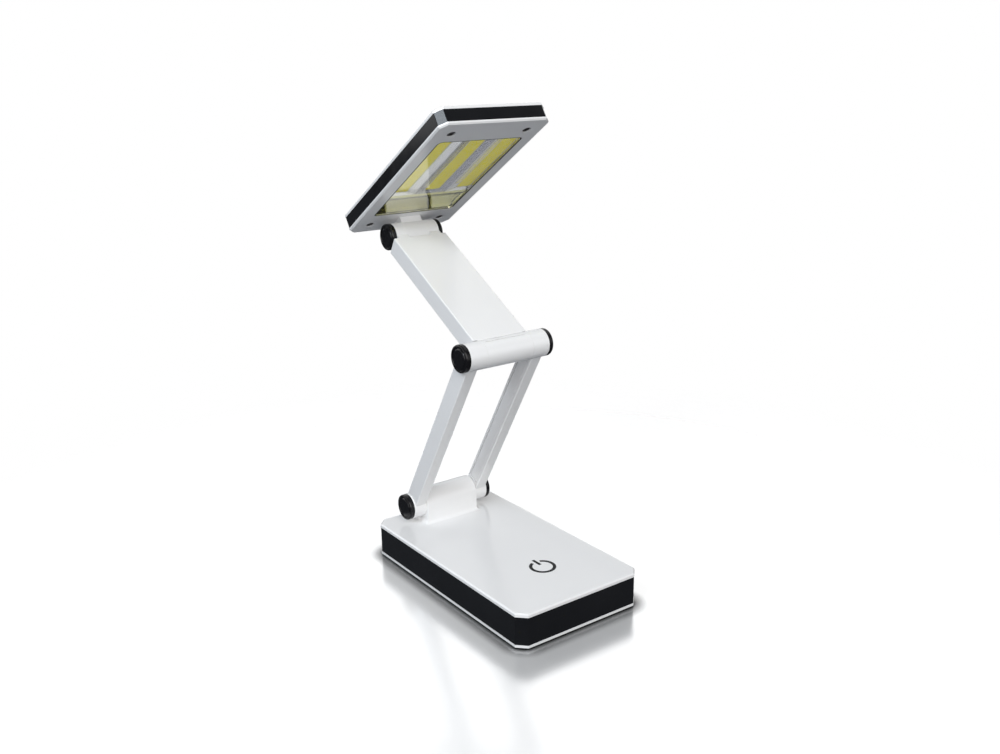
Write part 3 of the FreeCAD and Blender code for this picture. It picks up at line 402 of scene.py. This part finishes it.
# One cross-head screw seen from below, with its head under each point and its shank above
def makeScrewTree(shape):
    tree, given, output = startTree("crossHeadScrew", screwSizes)
    get = given.outputs
    tall, wide = get["Head Height"], get["Head Radius"]
    rim = addNode(tree, "GeometryNodeMeshCylinder", {
        "Vertices": shape["headSides"], "Radius": wide, "Depth": maths(tree, "MULTIPLY", tall, shape["rim"])})
    rimDown = addNode(tree, "ShaderNodeCombineXYZ", {"Z": maths(tree, "MULTIPLY", tall, -shape["rim"] / 2)})
    rimAt = addNode(tree, "GeometryNodeTransform", {"Geometry": rim.outputs["Mesh"],
                                                    "Translation": rimDown.outputs["Vector"]})
    crown = addNode(tree, "GeometryNodeMeshCone", {
        "Vertices": shape["headSides"], "Side Segments": 1, "Radius Top": wide,
        "Radius Bottom": maths(tree, "MULTIPLY", wide, shape["crownFoot"]),
        "Depth": maths(tree, "MULTIPLY", tall, shape["crown"])})
    crownDown = addNode(tree, "ShaderNodeCombineXYZ", {"Z": maths(tree, "MULTIPLY", tall, -1.0)})
    crownAt = addNode(tree, "GeometryNodeTransform", {"Geometry": crown.outputs["Mesh"],
                                                      "Translation": crownDown.outputs["Vector"]})
    head = addNode(tree, "GeometryNodeMeshBoolean", operation="UNION", solver="EXACT")
    for part in (rimAt, crownAt):
        tree.links.new(part.outputs["Geometry"], head.inputs["Mesh 2"])
    bars = addNode(tree, "GeometryNodeJoinGeometry")
    for along, across in (("X", "Y"), ("Y", "X")):
        size = addNode(tree, "ShaderNodeCombineXYZ", {
            along: get["Recess Length"], across: get["Recess Width"],
            "Z": maths(tree, "MULTIPLY", get["Recess Depth"], 2.0)})
        bar = addNode(tree, "GeometryNodeMeshCube", {"Size": size.outputs["Vector"]})
        barAt = addNode(tree, "GeometryNodeTransform", {"Geometry": bar.outputs["Mesh"],
                                                        "Translation": crownDown.outputs["Vector"]})
        tree.links.new(barAt.outputs["Geometry"], bars.inputs["Geometry"])
    cut = addNode(tree, "GeometryNodeMeshBoolean", {"Mesh 1": head.outputs["Mesh"],
                                                    "Mesh 2": bars.outputs["Geometry"]},
                  operation="DIFFERENCE", solver="EXACT")
    next(socket for socket in cut.inputs if socket.name == "Self Intersection").default_value = True
    shank = addNode(tree, "GeometryNodeMeshCylinder", {
        "Vertices": shape["shankSides"], "Radius": maths(tree, "MULTIPLY", wide, shape["shank"]),
        "Depth": get["Shank Length"]})
    shankUp = addNode(tree, "ShaderNodeCombineXYZ", {"Z": maths(tree, "MULTIPLY", get["Shank Length"], 0.5)})
    shankAt = addNode(tree, "GeometryNodeTransform", {"Geometry": shank.outputs["Mesh"],
                                                      "Translation": shankUp.outputs["Vector"]})
    screw = addNode(tree, "GeometryNodeJoinGeometry")
    for part in (cut.outputs["Mesh"], shankAt.outputs["Geometry"]):
        tree.links.new(part, screw.inputs["Geometry"])
    turn = addNode(tree, "FunctionNodeRandomValue", {"Seed": get["Turn Seed"]}, data_type="FLOAT")
    turn.inputs[2].default_value, turn.inputs[3].default_value = 0.0, shape["turnUpTo"]
    spin = addNode(tree, "ShaderNodeCombineXYZ", {"Z": turn.outputs[1]})
    placed = addNode(tree, "GeometryNodeInstanceOnPoints", {
        "Points": get["Geometry"], "Instance": screw.outputs["Geometry"], "Rotation": spin.outputs["Vector"]})
    endTree(tree, placed.outputs["Instances"], output, finishes["zinc_screws"])
    return tree


screwTree = makeScrewTree(screwShape)
for name, (body, cadNode, places) in screwPlaces.items():
    screws = newPiece(name, grown(name, screwTree, places, screwSizes), body)
    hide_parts(cadNode)
print("screws driven")

stripSizes = {"Strip Count": 3, "Pitch": 22.0 * mm, "Board Width": 11.5 * mm, "Gel Width": 9.9 * mm,
              "Length": 62.6 * mm, "Board Thickness": 1.0 * mm, "Gel Height": 0.32 * mm,
              "Dam Width": 0.3 * mm}
# damHeight and gelSink are shares of the gel's height, and gelGrid is how finely the gel's block is divided
stripShape = {"damInset": 0.9 * mm, "damHeight": 1.1, "gelInset": 1.0 * mm, "gelSink": 0.7, "gelCurve": 4.0,
              "gelGrid": (13, 61, 2)}
stripMiddle = (0.0, -67.3, 13.4)


# Copies one strip's geometry once for each strip, side by side and centred on the point
def alongStrips(tree, given, unit):
    get = given.outputs
    step = addNode(tree, "ShaderNodeCombineXYZ", {"X": get["Pitch"]})
    back = maths(tree, "MULTIPLY", maths(tree, "SUBTRACT", get["Strip Count"], 1.0), -0.5)
    first = addNode(tree, "ShaderNodeCombineXYZ", {"X": maths(tree, "MULTIPLY", back, get["Pitch"])})
    row = addNode(tree, "GeometryNodeMeshLine", {
        "Count": get["Strip Count"], "Start Location": first.outputs["Vector"],
        "Offset": step.outputs["Vector"]})
    strips = addNode(tree, "GeometryNodeInstanceOnPoints", {"Points": row.outputs["Mesh"], "Instance": unit})
    return addNode(tree, "GeometryNodeInstanceOnPoints", {
        "Points": get["Geometry"], "Instance": strips.outputs["Instances"]}).outputs["Instances"]


def block(tree, sizes, centre, vertices=(2, 2, 2)):
    size = addNode(tree, "ShaderNodeCombineXYZ", dict(zip("XYZ", sizes)))
    cube = addNode(tree, "GeometryNodeMeshCube", {"Size": size.outputs["Vector"], "Vertices X": vertices[0],
                                                  "Vertices Y": vertices[1], "Vertices Z": vertices[2]})
    move = addNode(tree, "ShaderNodeCombineXYZ", dict(zip("XYZ", centre)))
    return addNode(tree, "GeometryNodeTransform", {"Geometry": cube.outputs["Mesh"],
                                                   "Translation": move.outputs["Vector"]}).outputs["Geometry"]


# The strips' white boards, each with a thin dam round its gel
def makeBoardTree(shape):
    tree, given, output = startTree("stripBoards", stripSizes)
    get = given.outputs
    unit = addNode(tree, "GeometryNodeJoinGeometry")
    board = block(tree, (get["Board Width"], get["Length"], get["Board Thickness"]),
                  (0.0, 0.0, maths(tree, "MULTIPLY", get["Board Thickness"], 0.5)))
    tree.links.new(board, unit.inputs["Geometry"])
    damSide = maths(tree, "MULTIPLY", maths(tree, "ADD", get["Gel Width"], get["Dam Width"]), 0.5)
    damEnd = maths(tree, "SUBTRACT", maths(tree, "MULTIPLY", get["Length"], 0.5), shape["damInset"])
    damTall = maths(tree, "MULTIPLY", get["Gel Height"], shape["damHeight"])
    for side in (-1.0, 1.0):
        long = block(tree, (get["Dam Width"], maths(tree, "MULTIPLY", damEnd, 2.0), damTall),
                     (maths(tree, "MULTIPLY", damSide, side), 0.0, maths(tree, "MULTIPLY", damTall, -0.5)))
        short = block(tree, (get["Gel Width"], get["Dam Width"], damTall),
                      (0.0, maths(tree, "MULTIPLY", damEnd, side), maths(tree, "MULTIPLY", damTall, -0.5)))
        tree.links.new(long, unit.inputs["Geometry"])
        tree.links.new(short, unit.inputs["Geometry"])
    endTree(tree, alongStrips(tree, given, unit.outputs["Geometry"]), output, stripBoard)
    return tree


# The gel stands a little proud in the middle of its width and sinks towards the dams
def makeGelTree(shape):
    tree, given, output = startTree("phosphorGels", stripSizes)
    get = given.outputs
    long = maths(tree, "SUBTRACT", get["Length"], 2 * shape["gelInset"])
    middle = maths(tree, "MULTIPLY", get["Gel Height"], -0.5)
    gel = block(tree, (get["Gel Width"], long, get["Gel Height"]), (0.0, 0.0, middle), shape["gelGrid"])
    point = addNode(tree, "GeometryNodeInputPosition").outputs["Position"]
    where = addNode(tree, "ShaderNodeSeparateXYZ", {"Vector": point})
    share = maths(tree, "DIVIDE", where.outputs["X"], maths(tree, "MULTIPLY", get["Gel Width"], 0.5))
    bend = maths(tree, "POWER", maths(tree, "ABSOLUTE", share, 0.0), shape["gelCurve"])
    sink = maths(tree, "MULTIPLY", bend, get["Gel Height"])
    shift = addNode(tree, "ShaderNodeCombineXYZ", {"Z": maths(tree, "MULTIPLY", sink, shape["gelSink"])})
    face = maths(tree, "LESS_THAN", where.outputs["Z"], middle)
    domed = addNode(tree, "GeometryNodeSetPosition", {"Geometry": gel, "Selection": face,
                                                      "Offset": shift.outputs["Vector"]})
    endTree(tree, alongStrips(tree, given, domed.outputs["Geometry"]), output, finishes["phosphor_strip"])
    return tree


boardMesh = grown("stripBoards", makeBoardTree(stripShape), [stripMiddle], stripSizes)
boards = newPiece("stripBoards", boardMesh, "head")
gelMesh = grown("phosphorGels", makeGelTree(stripShape), [stripMiddle], stripSizes)
newPiece("phosphorGels", gelMesh, "head")
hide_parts("led_strip_left", "led_strip_middle", "led_strip_right")
print("light strips laid")

shadeBeadSizes = {"Across": 55.1 * mm, "Along": 87.2 * mm, "Corner": 2.6 * mm, "Bead Width": 0.9 * mm,
             "Bead Height": 0.22 * mm}
shadeBeadMiddle = (0.0, -53.65, 10.22)
shadeBeadSteps = {"corner": 8, "bead": 14}


# A dark bead that fills the gap between the pane and its opening and stands in for the shade in that gap, swept
# along the pane's outline
def makeShadeBeadTree(steps):
    tree, given, output = startTree("windowShadeBead", shadeBeadSizes)
    get = given.outputs
    outline = addNode(tree, "GeometryNodeCurvePrimitiveQuadrilateral", {"Width": get["Across"],
                                                                        "Height": get["Along"]})
    rounded = addNode(tree, "GeometryNodeFilletCurve", {
        "Curve": outline.outputs["Curve"], "Count": steps["corner"], "Radius": get["Corner"]}, mode="POLY")
    bead = addNode(tree, "GeometryNodeCurvePrimitiveCircle", {"Resolution": steps["bead"], "Radius": 0.5})
    flat = addNode(tree, "ShaderNodeCombineXYZ", {"X": get["Bead Width"], "Y": get["Bead Height"], "Z": 1.0})
    profile = addNode(tree, "GeometryNodeTransform", {"Geometry": bead.outputs["Curve"],
                                                      "Scale": flat.outputs["Vector"]})
    swept = addNode(tree, "GeometryNodeCurveToMesh", {"Curve": rounded.outputs["Curve"],
                                                      "Profile Curve": profile.outputs["Geometry"]})
    placed = addNode(tree, "GeometryNodeInstanceOnPoints", {"Points": get["Geometry"],
                                                            "Instance": swept.outputs["Mesh"]})
    endTree(tree, placed.outputs["Instances"], output, shadeBeadRubber)
    return tree


shadeBeadMesh = grown("windowShadeBead", makeShadeBeadTree(shadeBeadSteps), [shadeBeadMiddle], shadeBeadSizes)
newPiece("windowShadeBead", shadeBeadMesh, "head")
print("window sealed")

# the floor's greys are what reflections and bounced light see of it, and distances are in metres
floorSettings = {"radius": 4.0, "sides": 96, "fadeFrom": 0.24, "fadeTo": 0.42, "white": 1.42, "gloss": 0.67,
                 "roughness": 0.205, "contactReach": 0.009, "contactDepth": 3.4, "contactSamples": 8,
                 "away": (0.257, 0.267, 0.286), "mirrored": (0.115, 0.12, 0.13),
                 "throughGlass": (1.0, 0.995, 1.0), "facingFrom": 0.15, "facingTo": 0.45}
skySettings = {"soft": (0.20, 0.205, 0.215), "bright": 1.1, "dark": 0.08, "behind": (0.56, 0.77, 0.29),
               "behindFrom": 0.2, "behindTo": 0.6, "bandTop": 0.62, "bandFull": 0.42}
softboxes = {
    "frontSoftbox": {"towards": (-0.25, -0.81, 0.53), "distance": 1.8, "size": 1.4, "level": 0.705,
                     "tint": (1, 0.985, 0.965)},
    "leftSoftbox": {"towards": (-0.77, -0.24, 0.59), "distance": 1.5, "size": 0.5, "level": 0.43,
                    "tint": (0.84, 0.92, 1)},
    "lowSoftbox": {"towards": (-0.95, -0.25, 0.18), "distance": 1.5, "size": 0.6, "level": 0.08,
                   "tint": (1, 1, 1)},
    "rearSoftbox": {"towards": (-0.30, 0.86, 0.41), "distance": 1.9, "size": 1.2, "level": 0.14,
                    "tint": (1, 1, 1)},
}
lampMiddle = Vector((0, 0, 0.12))


# the camera sees a pale polished floor that ends in the white of the sky, and the lamp sees a greyer one
def makeFloor(settings):
    sides, radius = settings["sides"], settings["radius"]
    ring = [(math.cos(math.tau * side / sides) * radius, math.sin(math.tau * side / sides) * radius, 0)
            for side in range(sides)]
    mesh = bpy.data.meshes.new("studioFloor")
    mesh.from_pydata(ring, [], [tuple(range(sides))])
    floor = bpy.data.objects.new("studioFloor", mesh)
    scene.collection.objects.link(floor)
    finish = bpy.data.materials.new("studioFloor")
    finish.use_nodes = True
    tree = finish.node_tree
    tree.nodes.clear()
    path = addNode(tree, "ShaderNodeLightPath").outputs
    place = addNode(tree, "ShaderNodeTexCoord").outputs["Object"]
    away = addNode(tree, "ShaderNodeVectorMath", {0: place}, operation="LENGTH").outputs["Value"]
    fade = addNode(tree, "ShaderNodeMapRange", {
        "Value": away, "From Min": settings["fadeFrom"], "From Max": settings["fadeTo"]},
        interpolation_type="SMOOTHSTEP")
    # painted contact shadow: ambient occlusion darkens the floor's colour and its reflections close to the lamp's
    # base
    openness = addNode(tree, "ShaderNodeAmbientOcclusion", {"Distance": settings["contactReach"]},
                       samples=settings["contactSamples"])
    paintedContactShadow = maths(tree, "POWER", openness.outputs["AO"], settings["contactDepth"])
    paleness = maths(tree, "MULTIPLY", paintedContactShadow, settings["white"])
    pale = addNode(tree, "ShaderNodeBsdfDiffuse", {"Color": paleness})
    shine = addNode(tree, "ShaderNodeBsdfGlossy", {"Color": paintedContactShadow, "Roughness": settings["roughness"]})
    slant = addNode(tree, "ShaderNodeLayerWeight").outputs["Facing"]
    gloss = addNode(tree, "ShaderNodeMapRange", {
        "Value": slant, "From Min": settings["facingFrom"], "From Max": settings["facingTo"],
        "To Max": settings["gloss"]}, interpolation_type="SMOOTHSTEP")
    polished = addNode(tree, "ShaderNodeMixShader", {0: gloss.outputs["Result"], 1: pale.outputs[0],
                                                     2: shine.outputs[0]})
    clear = addNode(tree, "ShaderNodeBsdfTransparent")
    fading = addNode(tree, "ShaderNodeMixShader", {0: fade.outputs["Result"], 1: polished.outputs[0],
                                                   2: clear.outputs[0]})
    greyness = addNode(tree, "ShaderNodeMix", {
        "Factor": path["Is Glossy Ray"], "A": (*settings["away"], 1), "B": (*settings["mirrored"], 1)},
        data_type="RGBA")
    grey = addNode(tree, "ShaderNodeBsdfDiffuse", {"Color": greyness.outputs["Result"]})
    glazed = addNode(tree, "ShaderNodeBsdfDiffuse", {"Color": (*settings["throughGlass"], 1)})
    around = addNode(tree, "ShaderNodeMixShader", {0: path["Is Transmission Ray"], 1: grey.outputs[0],
                                                   2: glazed.outputs[0]})
    either = addNode(tree, "ShaderNodeMixShader", {0: path["Is Camera Ray"], 1: around.outputs[0],
                                                   2: fading.outputs[0]})
    addNode(tree, "ShaderNodeOutputMaterial", {"Surface": either.outputs[0]})
    mesh.materials.append(finish)


# white to the camera, bright to reflections behind the lamp and low down all round, and soft light otherwise
def makeSky(settings):
    world = bpy.data.worlds.new("studioSky")
    world.use_nodes = True
    scene.world = world
    tree = world.node_tree
    tree.nodes.clear()
    path = addNode(tree, "ShaderNodeLightPath")
    glossy = maths(tree, "MAXIMUM", path.outputs["Is Glossy Ray"], path.outputs["Is Transmission Ray"])
    direction = addNode(tree, "ShaderNodeTexCoord").outputs["Generated"]
    facing = addNode(tree, "ShaderNodeVectorMath", {0: direction, 1: settings["behind"]},
                     operation="DOT_PRODUCT")
    behind = addNode(tree, "ShaderNodeMapRange", {
        "Value": facing.outputs["Value"], "From Min": settings["behindFrom"],
        "From Max": settings["behindTo"]},
        interpolation_type="SMOOTHSTEP").outputs["Result"]
    height = addNode(tree, "ShaderNodeSeparateXYZ", {"Vector": direction}).outputs["Z"]
    band = addNode(tree, "ShaderNodeMapRange", {
        "Value": height, "From Min": settings["bandTop"], "From Max": settings["bandFull"]},
        interpolation_type="SMOOTHSTEP").outputs["Result"]
    reflected = addNode(tree, "ShaderNodeMapRange", {
        "Value": maths(tree, "MAXIMUM", behind, band), "To Min": settings["dark"],
        "To Max": settings["bright"]})
    mirrored = addNode(tree, "ShaderNodeBackground", {"Color": (1, 1, 1, 1),
                                                      "Strength": reflected.outputs["Result"]})
    soft = addNode(tree, "ShaderNodeBackground", {"Color": (*settings["soft"], 1), "Strength": 1.0})
    white = addNode(tree, "ShaderNodeBackground", {"Color": (1, 1, 1, 1), "Strength": 1.0})
    lit = addNode(tree, "ShaderNodeMixShader", {0: glossy, 1: soft.outputs[0], 2: mirrored.outputs[0]})
    either = addNode(tree, "ShaderNodeMixShader", {0: path.outputs["Is Camera Ray"], 1: lit.outputs[0],
                                                   2: white.outputs[0]})
    addNode(tree, "ShaderNodeOutputWorld", {"Surface": either.outputs[0]})


# level is how bright the lamp's light makes a white sheet that faces it
def makeSoftbox(name, settings):
    data = bpy.data.lights.new(name, "AREA")
    data.shape, data.size, data.color = "SQUARE", settings["size"], settings["tint"]
    data.energy = settings["level"] * math.pi ** 2 * settings["distance"] ** 2
    towards = Vector(settings["towards"]).normalized()
    softbox = bpy.data.objects.new(name, data)
    turn = towards.to_track_quat("Z", "Y").to_matrix().to_4x4()
    softbox.matrix_world = Matrix.Translation(towards * settings["distance"] + lampMiddle) @ turn
    scene.collection.objects.link(softbox)


makeFloor(floorSettings)
makeSky(skySettings)
for name, settings in softboxes.items():
    makeSoftbox(name, settings)
scene.view_settings.view_transform = "Standard"
print("studio lit")
